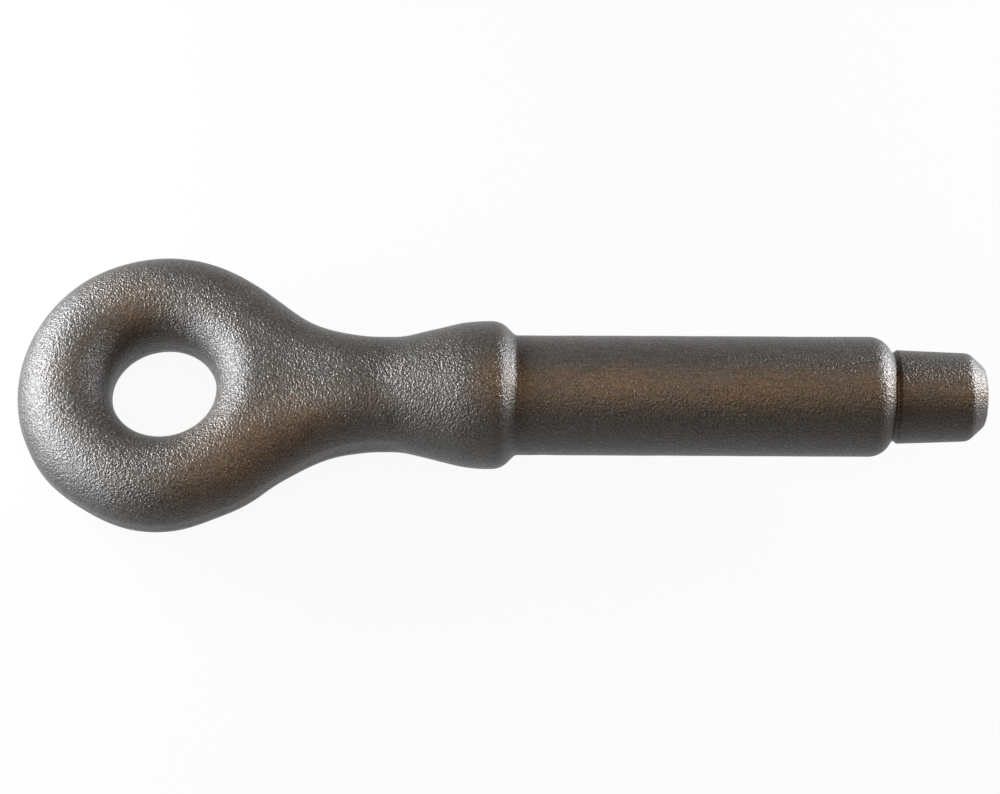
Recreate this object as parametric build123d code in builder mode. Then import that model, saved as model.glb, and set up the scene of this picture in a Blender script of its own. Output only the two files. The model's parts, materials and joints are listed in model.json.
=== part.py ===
from build123d import *
import math
import os

# Trailer drawbar eye: one drop forging with a pierced ring, a waisted neck, a flared collar
# and a round shank that goes into the drawbar tube and is welded there.
# Frame: origin at the centre of the hole, +Z along the hole, +X along the shank. Millimetres.

# Ring, rounded all over but for narrow lands on its rim and in its hole
hole_diameter = 50.0
ring_diameter = 139.6
ring_thickness = 45.2
rim_land = 0.4
hole_land = 2.8

# Flanks, seen along the hole: one hollow arc each side, from the ring to a short straight waist
waist_width = 54.0
waist_run = 7.0

# Cheeks above and below: level over the ring, rising between the two bends, level over the waist
cheek_start = 64.0
cheek_end = 84.0
cheek_bend = 9.5
waist_flattening = 2.0

# Collar: a flare up to the crest, then a bevel down to the shank
collar_diameter = 71.0
flare_foot = 111.0
flare_top = 146.2
flare_root_radius = 40.0
crest_run = 8.4
crest_width = 14.7
bevel_angle = 45.0
bevel_corner_radius = 8.0
bevel_root_radius = 3.0

# Shank, with a rounded shoulder at its end that leaves a short flat to the groove
shank_diameter = 57.5
shank_end = 342.3
shoulder_angle = 56.0
shoulder_flat = 3.5

# Drafted tip behind the shoulder, with a small groove at its root
tip_diameter = 45.0
tip_length = 44.2
tip_draft = 2.2
groove_depth = 1.6
groove_width = 2.2
groove_radius = 1.0
end_chamfer_length = 8.0
end_chamfer_depth = 7.2
end_corner_radius = 3.0

same_size = 0.01  # sizes closer than this are the same edge or face


def run_for(drop, angle):
    # Distance along the axis in which a line at this angle to it falls by drop
    return drop / math.tan(math.radians(angle))


hole_radius = hole_diameter / 2
ring_radius = ring_diameter / 2
half_thickness = ring_thickness / 2
waist = waist_width / 2
section_radius = min(half_thickness, (ring_radius - hole_radius) / 2)
rim_round = section_radius - rim_land / 2
hole_round = section_radius - hole_land / 2
collar_radius = collar_diameter / 2
shank_radius = shank_diameter / 2
tip_radius = tip_diameter / 2

# The flare's cone starts inside the ring, and the neck ends inside the collar
flare_slope = (collar_radius - waist) / (flare_top - flare_foot)
crest_radius = crest_run / math.tan(math.atan(flare_slope) / 2)
flare_start_x = hole_radius + section_radius
flare_start_radius = waist - (flare_foot - flare_start_x) * flare_slope
neck_end = flare_top - crest_run

# Flank arc: touches the ring, and runs out level where the waist begins
waist_start = flare_foot - waist_run
flank_radius = (waist_start**2 + waist**2 - ring_radius**2) / (2 * (ring_radius - waist))
reach = ring_radius / (ring_radius + flank_radius)
flank_top = (waist_start * reach, (waist + flank_radius) * reach)

# Cheek: its bends are arcs that run cheek_bend to each side of the corner
waist_half_height = waist - waist_flattening
cheek_angle = math.atan((waist_half_height - half_thickness) / (cheek_end - cheek_start))
cheek_radius = cheek_bend / math.tan(abs(cheek_angle) / 2)

# Stations of the turned outline behind the crest
bevel_top_x = flare_top + crest_width
bevel_foot_x = bevel_top_x + run_for(collar_radius - shank_radius, bevel_angle)
groove_bottom = tip_radius - groove_depth
groove_x = shank_end + run_for(shank_radius - groove_bottom, shoulder_angle)
shoulder_slant = math.hypot(groove_x - shank_end, shank_radius - groove_bottom)
shoulder_radius = (shoulder_slant - shoulder_flat) / math.tan(math.radians(shoulder_angle / 2))
tip_root_x = groove_x + groove_width
tip_end_x = groove_x + tip_length
chamfer_x = tip_end_x - end_chamfer_length
chamfer_radius = tip_radius - (chamfer_x - tip_root_x) * math.tan(math.radians(tip_draft))

with BuildPart() as drawbar_eye:
    # Eye blank: the outline seen along the hole, trimmed by the outline seen from the side
    with BuildSketch():
        Circle(ring_radius)
        with BuildLine():
            side = Line((0, 0), flank_top)
            flank = TangentArc((waist_start, waist), flank_top, tangent=(-1, 0))
            neck = Polyline((waist_start, waist), (neck_end, waist), (neck_end, 0))
            mirror([side, flank, neck], about=Plane.XZ)
        make_face()
    extrude(amount=ring_diameter, both=True)
    with BuildSketch(Plane.XZ):
        with BuildLine():
            cheek = FilletPolyline(
                (-ring_diameter, half_thickness),
                (cheek_start, half_thickness),
                (cheek_end, waist_half_height),
                (neck_end, waist_half_height),
                radius=cheek_radius,
            )
            mirror(cheek, about=Plane.XZ)
            Line((-ring_diameter, half_thickness), (-ring_diameter, -half_thickness))
            Line((neck_end, waist_half_height), (neck_end, -waist_half_height))
        make_face()
    extrude(amount=ring_diameter, both=True, mode=Mode.INTERSECT)

    # Full rounding of the rim: every edge of the upright walls but those of the neck's end
    walls = drawbar_eye.faces().filter_by(lambda f: abs(f.normal_at().Z) < same_size)
    rim = walls.filter_by(Axis.X, reverse=True).edges().filter_by(Axis.Z, reverse=True)
    fillet(rim, radius=rim_round)

    # Pierced hole: rounded mouths above and below a narrow cylindrical land
    with BuildSketch():
        Circle(hole_radius)
    extrude(amount=ring_diameter, both=True, mode=Mode.SUBTRACT)
    mouths = drawbar_eye.edges().filter_by(GeomType.CIRCLE)
    mouths = mouths.filter_by(lambda e: abs(e.radius - hole_radius) < same_size)
    fillet(mouths, radius=hole_round)

    # Collar, shank and tip, turned about the shank's axis
    with BuildSketch(Plane.XZ):
        with BuildLine():
            FilletPolyline(
                (flare_start_x, flare_start_radius),
                (flare_top, collar_radius),
                (bevel_top_x, collar_radius),
                (bevel_foot_x, shank_radius),
                (shank_end, shank_radius),
                (groove_x, groove_bottom),
                (tip_root_x, tip_radius),
                (chamfer_x, chamfer_radius),
                (tip_end_x, chamfer_radius - end_chamfer_depth),
                (tip_end_x, 0),
                radius=[
                    crest_radius,
                    bevel_corner_radius,
                    bevel_root_radius,
                    shoulder_radius,
                    groove_radius,
                    groove_radius,
                    end_corner_radius,
                    end_corner_radius,
                ],
            )
            Polyline((tip_end_x, 0), (flare_start_x, 0), (flare_start_x, flare_start_radius))
        make_face()
    revolve(axis=Axis.X)

    # Blend where the flare grows out of the neck
    flare = drawbar_eye.faces().filter_by(GeomType.CONE).sort_by(Axis.X)[0]
    flare_root = flare.edges().filter_by(lambda e: e.geom_type not in (GeomType.CIRCLE, GeomType.LINE))
    fillet(flare_root, radius=flare_root_radius)

drawbar_eye.part.label = "drawbar_eye"

os.makedirs("parts", exist_ok=True)
export_step(drawbar_eye.part, "parts/drawbar_eye.step")
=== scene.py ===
import json
import math
import bpy
import numpy as np
from mathutils import Matrix, Vector


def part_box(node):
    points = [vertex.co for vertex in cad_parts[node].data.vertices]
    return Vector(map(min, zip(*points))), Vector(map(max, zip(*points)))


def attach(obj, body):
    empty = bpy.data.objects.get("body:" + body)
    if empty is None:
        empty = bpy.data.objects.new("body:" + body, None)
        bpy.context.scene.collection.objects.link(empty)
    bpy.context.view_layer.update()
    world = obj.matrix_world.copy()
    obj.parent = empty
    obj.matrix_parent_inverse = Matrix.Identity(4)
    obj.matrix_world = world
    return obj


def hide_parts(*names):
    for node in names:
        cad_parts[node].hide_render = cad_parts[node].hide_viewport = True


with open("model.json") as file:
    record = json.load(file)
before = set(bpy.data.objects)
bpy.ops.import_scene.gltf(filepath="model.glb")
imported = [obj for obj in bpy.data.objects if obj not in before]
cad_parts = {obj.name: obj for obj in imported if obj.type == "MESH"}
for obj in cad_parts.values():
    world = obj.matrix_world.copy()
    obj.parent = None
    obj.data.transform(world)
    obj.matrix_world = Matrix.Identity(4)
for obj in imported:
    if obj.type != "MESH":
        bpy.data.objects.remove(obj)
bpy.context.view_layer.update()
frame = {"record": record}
mounts = {m["name"]: m["dims"] for m in frame["record"]["mounts"]}
eyeLow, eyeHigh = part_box("drawbar_eye")
print("frame loaded, box in mm", [round(c * 1000, 1) for c in (*eyeLow, *eyeHigh)])

# shape of the forging, all in millimetres until the mesh is written
eyeForm = {
    "ringRadius": -eyeLow.x * 1000,
    "holeRadius": mounts["eye_bore"]["r_mm"],
    "halfThickness": 22.6,
    "rimRound": 22.2,
    "holeRound": 21.0,
    "flashTrim": 0.2,  # how far the trimmed flash cuts into the rim, which leaves a land about 6 wide
    "waist": 27.0,
    "waistStart": 104.0,
    "waistFlattening": 2.0,
    "cheekStart": 64.0,
    "cheekEnd": 84.0,
    "cheekBend": 9.5,
    "flareFoot": 111.0,
    "flareTop": 146.2,
    "flareBlend": 1.13,
    "crestRun": 8.4,
    "crestWidth": 14.7,
    "bevelCorner": 11.0,
    "bevelRoot": 3.0,
    "collarRadius": eyeHigh.z * 1000,
    "shankRadius": mounts["shank"]["r_mm"],
    "shankEnd": 342.3,
    "shoulderAngle": 56.0,
    "shoulderRound": 11.2,
    "tipRadius": 22.5,
    "tipDraft": 2.2,
    "grooveDepth": 1.6,
    "grooveWidth": 2.2,
    "grooveRound": 1.0,
    "tipEnd": eyeHigh.x * 1000,
    "chamferRun": 8.0,
    "chamferDrop": 7.2,
    "chamferRound": 5.5,
    "endRound": 4.0,
    "trimFade": 15.0,  # the rim's unevenness starts this far from the middle plane and is full at twice as far
}
# the rim as the die and the trimming left it: place along x, spread, side (1 back, -1 front) and metal taken off
rimTrim = [
    (26.0, 15.0, -1, 1.7),
    (-36.0, 15.0, -1, 1.2),
    (-42.0, 14.0, 1, -0.4),
    (56.0, 11.0, 1, -1.7),
    (62.0, 13.0, -1, -1.3),
]
eyeMesh = {
    "around": 288,
    "section": 120,
    "patchAround": 24,
    "patchSection": 20,
    "bridges": 14,
    "evenings": 40,
    "neckStart": 86.0,
    "neckLoops": 41,
    "neckEase": 40.0,  # run in which the neck's rays turn from the rim's spacing to an even one
    "ringReach": 40.0,
    "neckReach": 60.0,
    "step": 1.3,
    "flareLead": 30.0,  # the turned outline starts this far before the flare's top
    "pole": 0.4,  # the outline stops this far from the axis, and a fan closes it
}
eyeSurface = {"wave": 0.14, "waveSize": 24.0, "dent": 0.14, "dentSize": 8.0, "seed": 11}

flareSlope = (eyeForm["collarRadius"] - eyeForm["waist"]) / (eyeForm["flareTop"] - eyeForm["flareFoot"])
neckEnd = eyeForm["flareTop"] - eyeForm["crestRun"]
flankRadius = (eyeForm["waistStart"] ** 2 + eyeForm["waist"] ** 2 - eyeForm["ringRadius"] ** 2) / (
    2 * (eyeForm["ringRadius"] - eyeForm["waist"])
)


def roundedEdge(outward, across, radius):
    # two half-spaces joined by a quarter round: both distances are moved in by the radius, then taken as a length
    a, b = outward + radius, across + radius
    return np.minimum(np.maximum(a, b), 0) + np.hypot(np.maximum(a, 0), np.maximum(b, 0)) - radius


def eyeDistance(p):
    # distance to the ring, neck and flare, negative inside: the plan outline and the cheeks share a round rim,
    # the hole has round mouths, and the flare is a cone that melts into the neck
    x, y, z = p[..., 0], np.abs(p[..., 1]), np.abs(p[..., 2])
    f = eyeForm
    trim = sum(
        depth * np.exp(-(((x - at) / spread) ** 2)) * (p[..., 1] * side > 0) for at, spread, side, depth in rimTrim
    )
    trim = trim * np.clip((y - f["trimFade"]) / f["trimFade"], 0, 1)
    centre = np.array([f["waistStart"], f["waist"] + flankRadius])
    onRing = x * centre[1] <= y * centre[0]
    ring = np.hypot(x, y) - f["ringRadius"]
    flank = flankRadius - np.hypot(x - centre[0], y - centre[1])
    plan = np.where(onRing, ring, np.where(x < f["waistStart"], flank, y - f["waist"])) + trim
    rise = (x - f["cheekStart"] + f["cheekBend"]) / (f["cheekEnd"] - f["cheekStart"] + 2 * f["cheekBend"])
    rise = np.clip(rise, 0, 1)
    half = f["halfThickness"] + (f["waist"] - f["waistFlattening"] - f["halfThickness"]) * rise * rise * (3 - 2 * rise)
    across = z - half
    body = np.maximum(roundedEdge(plan, across, f["rimRound"]), plan + f["flashTrim"])
    hole = roundedEdge(f["holeRadius"] - np.hypot(x, y), across, f["holeRound"])
    blank = np.maximum(body, hole)
    cone = (np.hypot(y, z) - f["waist"] - flareSlope * (x - f["flareFoot"])) / math.hypot(1, flareSlope)
    cone = np.maximum(cone, f["cheekStart"] - x)
    gap = np.maximum(f["flareBlend"] - np.abs(blank - cone), 0)
    return np.minimum(blank, cone) - gap * gap / (4 * f["flareBlend"])


def castTo(start, direction, reach):
    # halves the span 40 times between a point inside and one outside, for every ray at once
    near, far = np.zeros(start.shape[:-1]), np.full(start.shape[:-1], reach)
    for _ in range(40):
        middle = (near + far) / 2
        inside = eyeDistance(start + direction * middle[..., None]) < 0
        near, far = np.where(inside, middle, near), np.where(inside, far, middle)
    return start + direction * ((near + far) / 2)[..., None]


def slopeOf(p, h=0.05):
    # direction in which the distance grows fastest, from central differences
    steps = np.eye(3) * h
    g = np.stack([eyeDistance(p + s) - eyeDistance(p - s) for s in steps], -1) / (2 * h)
    return g / np.maximum(np.linalg.norm(g, axis=-1, keepdims=True), 1e-9)


def settle(p, rounds=4):
    # moves points along the slope until they lie on the surface
    for _ in range(rounds):
        p = p - slopeOf(p) * eyeDistance(p)[..., None]
    return p


def turnedOutline(corners, radii, step):
    # straight runs joined by tangent arcs: each arc turns from one run's direction to the next about its own centre
    corners = np.array(corners, float)
    runs = np.diff(corners, axis=0)
    runs /= np.linalg.norm(runs, axis=1, keepdims=True)
    pieces, last = [], corners[0]
    for corner, into, out, radius in zip(corners[1:-1], runs[:-1], runs[1:], radii):
        turn = math.atan2(into[0] * out[1] - into[1] * out[0], float(into @ out))
        cut = radius * math.tan(abs(turn) / 2)
        first = corner - into * cut
        side = math.copysign(1, turn)
        centre = first + radius * side * np.array([-into[1], into[0]])
        count = max(3, int(abs(turn) * radius / min(step, radius * 0.35)) + 1)
        angle = math.atan2(*(first - centre)[::-1]) + np.linspace(0, turn, count + 1)
        straight = np.linspace(last, first, max(2, int(np.linalg.norm(first - last) / step) + 1))
        arc = centre + radius * np.stack([np.cos(angle), np.sin(angle)], -1)
        pieces += [straight[:-1], arc[:-1]]
        last = arc[-1]
    pieces.append(np.linspace(last, corners[-1], max(2, int(np.linalg.norm(corners[-1] - last) / step) + 1)))
    return np.concatenate(pieces)


def latticeNoise(p, size, seed):
    # smooth values from 0 to 1: random numbers on a lattice, eased between its eight nearest points
    cells, shift = 64, 1000.37
    table = np.random.default_rng(seed).random((cells, cells, cells))
    q = p / size + shift
    cell = np.floor(q).astype(int)
    t = q - cell
    t = t * t * (3 - 2 * t)
    total = 0
    for corner in np.ndindex(2, 2, 2):
        c = np.array(corner)
        weight = np.prod(np.where(c, t, 1 - t), -1)
        i = (cell + c) % cells
        total = total + weight * table[i[..., 0], i[..., 1], i[..., 2]]
    return total


def forgedEyeGrid():
    # ring: rays from its centre circle, one angle round the hole and one round the section
    m, f = eyeMesh, eyeForm
    theta = np.arange(m["around"]) * 2 * np.pi / m["around"]
    phi = np.arange(m["section"]) * 2 * np.pi / m["section"]
    t, s = np.meshgrid(theta, phi, indexing="ij")
    radial = np.stack([np.cos(t), np.sin(t), 0 * t], -1)
    outward = radial * np.cos(s)[..., None] + np.array([0, 0, 1]) * np.sin(s)[..., None]
    ring = castTo(radial * (f["ringRadius"] + f["holeRadius"]) / 2, outward, m["ringReach"])

    # the patch of the ring under the neck is left out, and its rim is the neck's first loop
    pa, ps = m["patchAround"], m["patchSection"]
    i = np.arange(m["around"])[:, None]
    j = np.arange(m["section"])[None, :]
    di = (i + m["around"] // 2) % m["around"] - m["around"] // 2
    dj = (j + m["section"] // 2) % m["section"] - m["section"] // 2
    keep = ~((np.abs(di) < pa) & (np.abs(dj) < ps))
    number = np.cumsum(keep.ravel()).reshape(keep.shape) - 1
    gi, gj = i + 0 * j, j + 0 * i
    qi = np.stack([gi, gi + 1, gi + 1, gi]) % m["around"]
    qj = np.stack([gj, gj, gj + 1, gj + 1]) % m["section"]
    inPatch = (di >= -pa) & (di < pa) & (dj >= -ps) & (dj < ps)
    ringFaces = number[qi, qj][:, ~inPatch].T
    up, across = np.arange(ps), np.arange(2 * pa)
    rimI = np.concatenate([0 * up + pa, pa - across, 0 * np.arange(2 * ps) - pa, across - pa, 0 * up + pa])
    rimJ = np.concatenate([up, 0 * across + ps, ps - np.arange(2 * ps), 0 * across - ps, up - ps])
    rim = ring[rimI % m["around"], rimJ % m["section"]]
    rimNumber = number[rimI % m["around"], rimJ % m["section"]]
    count = len(rimI)

    # neck: rays square to the shank's axis; flare, collar, shank and tip: one outline carried round the axis
    psi0 = np.unwrap(np.arctan2(rim[:, 2], rim[:, 1]))
    psi1 = np.arange(count) * 2 * np.pi / count
    station = np.linspace(m["neckStart"], neckEnd, m["neckLoops"] + 1)[:-1]
    ease = np.clip((station - m["neckStart"]) / m["neckEase"], 0, 1)[:, None]
    ease = ease * ease * (3 - 2 * ease)
    psi = psi0 * (1 - ease) + psi1 * ease
    axis = np.stack([station[:, None] + 0 * psi, 0 * psi, 0 * psi], -1)
    neck = castTo(axis, np.stack([0 * psi, np.cos(psi), np.sin(psi)], -1), m["neckReach"])

    shoulderRun = (f["shankRadius"] - f["tipRadius"] + f["grooveDepth"]) / math.tan(math.radians(f["shoulderAngle"]))
    grooveX = f["shankEnd"] + shoulderRun
    bevelTop = f["flareTop"] + f["crestWidth"]
    chamferX = f["tipEnd"] - f["chamferRun"]
    chamferRadius = f["tipRadius"] - (chamferX - grooveX - f["grooveWidth"]) * math.tan(math.radians(f["tipDraft"]))
    crestRadius = f["crestRun"] / math.tan(math.atan(flareSlope) / 2)
    outline = turnedOutline(
        [
            (f["flareTop"] - m["flareLead"], f["collarRadius"] - m["flareLead"] * flareSlope),
            (f["flareTop"], f["collarRadius"]),
            (bevelTop, f["collarRadius"]),
            (bevelTop + f["collarRadius"] - f["shankRadius"], f["shankRadius"]),
            (f["shankEnd"], f["shankRadius"]),
            (grooveX, f["tipRadius"] - f["grooveDepth"]),
            (grooveX + f["grooveWidth"], f["tipRadius"]),
            (chamferX, chamferRadius),
            (f["tipEnd"], chamferRadius - f["chamferDrop"]),
            (f["tipEnd"], 0),
        ],
        [
            crestRadius,
            f["bevelCorner"],
            f["bevelRoot"],
            f["shoulderRound"],
            f["grooveRound"],
            f["grooveRound"],
            f["chamferRound"],
            f["endRound"],
        ],
        m["step"],
    )
    outline = outline[(outline[:, 0] >= neckEnd) & (outline[:, 1] > m["pole"])]
    along, radius = outline[:, :1], outline[:, 1:]
    turned = np.stack([along + 0 * psi1, radius * np.cos(psi1), radius * np.sin(psi1)], -1)

    # bridge between the ring's rim and the neck: straight blends, then evened out and settled on the surface
    share = np.linspace(0, 1, m["bridges"] + 2)[1:-1, None, None]
    bridge = settle(rim * (1 - share) + neck[0] * share)
    for _ in range(m["evenings"]):
        whole = np.concatenate([rim[None], bridge, neck[:1]])
        even = (whole[2:] + whole[:-2] + np.roll(bridge, 1, 1) + np.roll(bridge, -1, 1)) / 4
        bridge = settle(bridge * 0.4 + even * 0.6, 2)

    tube = np.concatenate([bridge, neck, turned])
    tubeNumber = keep.sum() + np.arange(len(tube) * count).reshape(len(tube), count)
    loops = np.concatenate([rimNumber[None], tubeNumber])
    turnedBy = np.roll(loops, -1, 1)
    tubeFaces = np.stack([loops[:-1], turnedBy[:-1], turnedBy[1:], loops[1:]], -1).reshape(-1, 4)
    points = np.concatenate([ring[keep], tube.reshape(-1, 3), [[f["tipEnd"], 0, 0]]])
    cap = np.stack([loops[-1], np.roll(loops[-1], -1), np.full(count, len(points) - 1)], -1)
    return points, ringFaces.tolist() + tubeFaces.tolist() + cap.tolist()


# brown oxide that the blasting left, partly standing in for a warm reflection: soft spots on the ring as centre,
# radius and strength, and a strip along the shank, with its angles in radians, which is a painted warm sheen on the
# side that faces up and to the front
oxideAndSheenSpots = [
    ((41, -38, 18), 22, 0.7),
    ((68, -24, 20), 18, 0.6),
    ((-17, 36, 18), 15, 0.6),
    ((-44, 4, 20), 11, 0.35),
    ((20, -52, 14), 16, 0.5),
]
paintedSheenStrip = {"lean": -0.28, "spread": 0.36, "start": 145.0, "fade": 12.0, "under": 0.7}


def brownBloom(p):
    # bell curves: round each spot by distance, and along the shank by the angle from a line that leans to the front
    total = sum(s * np.exp(-np.sum((p - np.array(c)) ** 2, -1) / r**2) for c, r, s in oxideAndSheenSpots)
    # painted warm sheen: a brown band along the shank where its surface faces up and to the front
    angle = np.arctan2(p[:, 1], np.abs(p[:, 2])) - paintedSheenStrip["lean"]
    side = np.where(p[:, 2] > 0, 1.0, paintedSheenStrip["under"])
    strip = side * np.exp(-((angle / paintedSheenStrip["spread"]) ** 2))
    strip = strip * np.clip((p[:, 0] - paintedSheenStrip["start"]) / paintedSheenStrip["fade"], 0, 1)
    return np.clip(total + strip, 0, 1)


# how hard the shot hit: stations along x in mm, and the depth of the grain there
peenStations = [(-80, 1.0), (140, 1.0), (172, 0.85), (330, 0.85), (346, 0.8), (400, 0.85)]


def peening(p):
    # straight lines between the stations
    return np.interp(p[:, 0], *np.array(peenStations, float).T)


# the land that the trimming sheared, in mm: how deep into the rim, half its width, and where it ends along x
landForm = {"depth": 6.0, "halfWidth": 2.6, "end": 100.0, "fade": 25.0}


def flashLand(p):
    # flat-topped bell across the parting plane, on the rim only: 1 on the sheared land, 0 away from it
    outside = np.hypot(p[:, 0], p[:, 1]) > eyeForm["ringRadius"] - landForm["depth"]
    fade = np.clip((landForm["end"] - p[:, 0]) / landForm["fade"], 0, 1)
    return np.exp(-((p[:, 2] / landForm["halfWidth"]) ** 4)) * outside * fade


def buildForgedEye():
    points, faces = forgedEyeGrid()
    mesh = bpy.data.meshes.new("forgedEye")
    mesh.from_pydata(points.tolist(), [], faces)
    normals = np.zeros(len(points) * 3, np.float32)
    mesh.vertex_normals.foreach_get("vector", normals)
    normals = normals.reshape(-1, 3)
    # hammer scale and die wear: long waves and shallow dents, both pressed inwards
    s = eyeSurface
    waves = latticeNoise(points, s["waveSize"], s["seed"])
    dents = latticeNoise(points, s["dentSize"], s["seed"] + 1)
    depth = s["wave"] * waves + s["dent"] * dents**2
    depth[-1] = depth[-2]
    skin = (points - normals * depth[:, None]) / 1000
    mesh.vertices.foreach_set("co", skin.astype(np.float32).ravel())
    for name, amount in (("brownBloom", brownBloom), ("peening", peening), ("flashLand", flashLand)):
        attribute = mesh.attributes.new(name, "FLOAT", "POINT")
        attribute.data.foreach_set("value", amount(points).astype(np.float32))
    mesh.polygons.foreach_set("use_smooth", np.ones(len(faces), bool))
    mesh.update()
    eye = bpy.data.objects.new("forgedEye", mesh)
    bpy.context.scene.collection.objects.link(eye)
    print("forged eye", len(points), "points", sum(len(face) - 2 for face in faces), "triangles")
    return eye


def linear(hexColour):
    # sRGB hex to linear red, green, blue and alpha 1
    c = np.array([int(hexColour[k : k + 2], 16) for k in (0, 2, 4)]) / 255
    return (*np.where(c <= 0.04045, c / 12.92, ((c + 0.055) / 1.055) ** 2.4).tolist(), 1.0)


def addNode(tree, kind, settings=None, **links):
    # one node: plain values go on its sockets, and sockets of other nodes are linked
    node = tree.nodes.new(kind)
    for name, value in (settings or {}).items():
        setattr(node, name, value)
    for name, value in links.items():
        key = int(name[2:]) if name.startswith("in") and name[2:].isdigit() else name.replace("_", " ")
        if isinstance(value, bpy.types.NodeSocket):
            tree.links.new(value, node.inputs[key])
        else:
            node.inputs[key].default_value = value
    return node


def newMaterial(name):
    material = bpy.data.materials.new(name)
    material.use_nodes = True
    material.node_tree.nodes.clear()
    return material, material.node_tree


steelLook = {
    "scaleGrey": "2b2b2a",
    "brownScaleAndSheen": "443423",
    "scaleDark": "181716",
    "grainSize": 0.8,  # shot-blast grain in mm, about as fine as the render shows
    "grainDepth": 0.00052,  # in metres, as the bump takes it
    "pitSize": 1.25,
    "pitShare": 0.6,
    "patchSize": 34.0,
    "patchRange": (0.45, 1.1),  # how thin and how thick the brown gets within the oxide spots and the painted sheen strip
    "brownEverywhere": 0.06,
    "streakRun": 14.0,
    "streakWidth": 0.9,
    "streakShare": 0.4,
    "fleckRange": (-0.3, 2.0),  # from darker than the dark scale to lighter than the film
    "roughRange": (0.78, 0.64),  # before the peening polishes it
    "peenPolish": 0.34,
    "landSmoothing": 0.55,
    "ior": 1.5,
}
noiseSpan = {"From_Min": 0.3, "From_Max": 0.7}  # nearly all of a noise texture's values lie between these


def forgedSteel():
    # drop-forged carbon steel, shot blasted: a dark brown-grey oxide film over a peened skin, with a painted warm
    # sheen in brown along the shank, so it looks dull and dark head on, with a fine bright sparkle wherever a lamp is
    # mirrored
    material, tree = newMaterial("forgedSteelShotBlasted")
    look = steelLook
    place = addNode(tree, "ShaderNodeTexCoord").outputs["Object"]
    scale = 1000 / look["grainSize"]
    grain = addNode(tree, "ShaderNodeTexNoise", Vector=place, Scale=scale, Detail=1.0, Roughness=0.6).outputs["Fac"]
    scale = 1000 / look["pitSize"]
    smooth = {"feature": "SMOOTH_F1"}
    pits = addNode(tree, "ShaderNodeTexVoronoi", smooth, Vector=place, Scale=scale, Smoothness=0.6).outputs["Distance"]
    scale = 1000 / look["patchSize"]
    patch = addNode(tree, "ShaderNodeTexNoise", Vector=place, Scale=scale, Detail=3.0, Roughness=0.55).outputs["Fac"]
    oxideSheen = addNode(tree, "ShaderNodeAttribute", {"attribute_name": "brownBloom"}).outputs["Fac"]
    peened = addNode(tree, "ShaderNodeAttribute", {"attribute_name": "peening"}).outputs["Fac"]
    land = addNode(tree, "ShaderNodeAttribute", {"attribute_name": "flashLand"}).outputs["Fac"]

    # colour: grey film, brown in the oxide spots and in the painted warm sheen along the shank, broken up by dark
    # flecks
    low, high = look["patchRange"]
    spread = addNode(tree, "ShaderNodeMapRange", Value=patch, To_Min=low, To_Max=high, **noiseSpan).outputs["Result"]
    clamped = {"operation": "MULTIPLY_ADD", "use_clamp": True}
    # share of brown: the oxide spots and the painted warm sheen from the attribute, thickened by the patch noise
    brown = addNode(tree, "ShaderNodeMath", clamped, in0=oxideSheen, in1=spread, in2=look["brownEverywhere"]).outputs[0]
    grey, tan = linear(look["scaleGrey"]), linear(look["brownScaleAndSheen"])
    film = addNode(tree, "ShaderNodeMix", {"data_type": "RGBA"}, in0=brown, in6=grey, in7=tan).outputs[2]
    # lengthwise drawing marks, only where the skin is not fully peened
    stretch = (1000 / look["streakRun"], 1000 / look["streakWidth"], 1000 / look["streakWidth"])
    along = addNode(tree, "ShaderNodeVectorMath", {"operation": "MULTIPLY"}, in0=place, in1=stretch).outputs[0]
    streak = addNode(tree, "ShaderNodeTexNoise", Vector=along, Scale=1.0, Detail=2.0, Roughness=0.6).outputs["Fac"]
    weakest = {"From_Min": 1.0, "From_Max": 0.8, "To_Min": 0.0, "To_Max": look["streakShare"]}
    drawn = addNode(tree, "ShaderNodeMapRange", Value=peened, **weakest).outputs["Result"]
    fleck = addNode(tree, "ShaderNodeMix", {"data_type": "FLOAT"}, in0=drawn, in2=grain, in3=streak).outputs[0]
    low, high = look["fleckRange"]
    speck = addNode(tree, "ShaderNodeMapRange", Value=fleck, To_Min=low, To_Max=high, **noiseSpan).outputs["Result"]
    unclamped = {"data_type": "RGBA", "clamp_factor": False}
    colour = addNode(tree, "ShaderNodeMix", unclamped, in0=speck, in6=linear(look["scaleDark"]), in7=film).outputs[2]

    # skin: grain and pits in relief, flatter on the sheared land, shinier where it is fully peened
    low, high = look["roughRange"]
    shine = addNode(tree, "ShaderNodeMapRange", Value=grain, To_Min=low, To_Max=high, **noiseSpan).outputs["Result"]
    plain = {"operation": "MULTIPLY_ADD"}
    dull = addNode(tree, "ShaderNodeMath", plain, in0=peened, in1=-look["peenPolish"], in2=shine).outputs[0]
    height = addNode(tree, "ShaderNodeMath", plain, in0=pits, in1=look["pitShare"], in2=grain).outputs[0]
    depth = addNode(tree, "ShaderNodeMath", clamped, in0=land, in1=-look["landSmoothing"], in2=peened).outputs[0]
    bump = addNode(tree, "ShaderNodeBump", Strength=depth, Distance=look["grainDepth"], Height=height)
    shader = addNode(
        tree,
        "ShaderNodeBsdfPrincipled",
        Base_Color=colour,
        Roughness=dull,
        IOR=look["ior"],
        Normal=bump.outputs["Normal"],
    )
    addNode(tree, "ShaderNodeOutputMaterial", Surface=shader.outputs[0])
    return material


floorLook = {"whiteShare": 0.94, "white": "ffffff", "sheet": "909090"}


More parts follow.
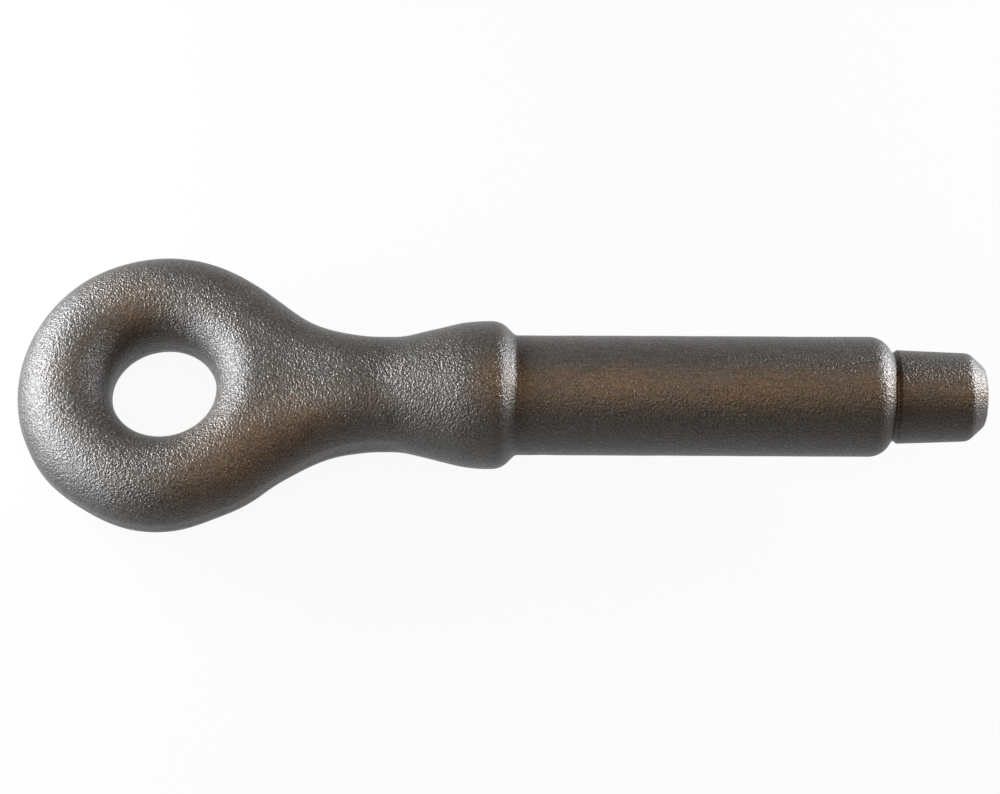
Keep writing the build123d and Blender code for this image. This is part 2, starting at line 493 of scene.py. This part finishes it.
def paleFloor():
    # matt white sheet: seen by the camera and in reflections it is paper white with a faint shadow
    material, tree = newMaterial("matteWhitePaper")
    path = addNode(tree, "ShaderNodeLightPath").outputs
    larger = {"operation": "MAXIMUM"}
    seen = addNode(tree, "ShaderNodeMath", larger, in0=path["Is Camera Ray"], in1=path["Is Glossy Ray"]).outputs[0]
    seen = addNode(tree, "ShaderNodeMath", larger, in0=seen, in1=path["Is Transmission Ray"]).outputs[0]
    share = addNode(tree, "ShaderNodeMath", {"operation": "MULTIPLY"}, in0=seen, in1=floorLook["whiteShare"])
    sheet = addNode(tree, "ShaderNodeBsdfDiffuse", Color=linear(floorLook["sheet"])).outputs[0]
    white = addNode(tree, "ShaderNodeEmission", Color=linear(floorLook["white"]), Strength=1.0).outputs[0]
    mixed = addNode(tree, "ShaderNodeMixShader", in0=share.outputs[0], in1=sheet, in2=white)
    addNode(tree, "ShaderNodeOutputMaterial", Surface=mixed.outputs[0])
    return material


# the forging, in place of the CAD solid
eye = buildForgedEye()
eye.data.materials.append(forgedSteel())
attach(eye, "root")
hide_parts("drawbar_eye")

# stage: the eye lies on its ring and its collar, so the floor leans with it
floorPlan = {"ringContact": (-0.0475, -0.0226), "collarContact": (0.1546, -0.0355), "half": 12.0}


def buildFloor():
    # square sheet through the two contact heights, level across
    (x0, z0), (x1, z1) = floorPlan["ringContact"], floorPlan["collarContact"]
    u = np.array([-1, 1, 1, -1]) * floorPlan["half"]
    v = np.array([-1, -1, 1, 1]) * floorPlan["half"]
    points = np.stack([u, v, z0 + (u - x0) * (z1 - z0) / (x1 - x0)], -1)
    mesh = bpy.data.meshes.new("floorSheet")
    mesh.from_pydata(points.tolist(), [], [(0, 1, 2, 3)])
    floor = bpy.data.objects.new("floorSheet", mesh)
    bpy.context.scene.collection.objects.link(floor)
    mesh.materials.append(paleFloor())


buildFloor()

# light: two soft boxes on the left, a low one on the right, a dim warm one above
lamps = [
    {
        "name": "leftSoftBox",
        "aim": (-0.93, -0.12, 0.3),
        "distance": 0.8,
        "size": (0.6, 0.4),
        "watts": 16,
        "colour": "fbfcff",
    },
    {
        "name": "leftEdgeBox",
        "aim": (-0.88, 0.36, 0.31),
        "distance": 0.62,
        "size": (0.22, 0.18),
        "watts": 9,
        "colour": "fbfcff",
    },
    {
        "name": "rightLowBox",
        "aim": (0.9, 0.36, 0.12),
        "distance": 0.95,
        "size": (0.5, 0.24),
        "watts": 25,
        "colour": "fbfcff",
    },
    {
        "name": "warmOverhead",
        "aim": (0.12, -0.17, 0.98),
        "distance": 1.5,
        "size": (0.6, 0.4),
        "watts": 13.5,
        "colour": "ffdcb8",
    },
]
studio = {"centre": (0.16, 0, 0), "worldColour": "ffffff", "worldStrength": 0.07}


def buildLamps():
    centre = Vector(studio["centre"])
    for lamp in lamps:
        light = bpy.data.lights.new(lamp["name"], "AREA")
        light.shape = "RECTANGLE"
        light.size, light.size_y = lamp["size"]
        light.energy = lamp["watts"]
        light.color = linear(lamp["colour"])[:3]
        body = bpy.data.objects.new(lamp["name"], light)
        aim = Vector(lamp["aim"]).normalized()
        turn = aim.to_track_quat("Z", "Y").to_matrix().to_4x4()
        body.matrix_world = Matrix.Translation(centre + aim * lamp["distance"]) @ turn
        bpy.context.scene.collection.objects.link(body)


buildLamps()
world = bpy.data.worlds.new("dimStudio")
world.use_nodes = True
background = world.node_tree.nodes["Background"]
background.inputs["Color"].default_value = linear(studio["worldColour"])
background.inputs["Strength"].default_value = studio["worldStrength"]
bpy.context.scene.world = world
bpy.context.scene.view_settings.view_transform = "Standard"

# camera: above and in front, square to the shank, as in the photograph
view = {
    "target": (0.1604, -0.0008, -0.0004),
    "elevation": 65.3,
    "distance": 1.2906,
    "lens": 97.2,
    "sensor": 36.0,
    "roll": 0.27,
}


def buildCamera():
    camera = bpy.data.objects.new("camera", bpy.data.cameras.new("camera"))
    camera.data.lens = view["lens"]
    camera.data.sensor_width = view["sensor"]
    e = math.radians(view["elevation"])
    back = Vector((0, -math.cos(e), math.sin(e)))
    turn = back.to_track_quat("Z", "Y").to_matrix().to_4x4() @ Matrix.Rotation(math.radians(view["roll"]), 4, "Z")
    camera.matrix_world = Matrix.Translation(Vector(view["target"]) + back * view["distance"]) @ turn
    bpy.context.scene.collection.objects.link(camera)
    bpy.context.scene.camera = camera


buildCamera()
print("stage, light and camera set")

bpy.context.view_layer.update()
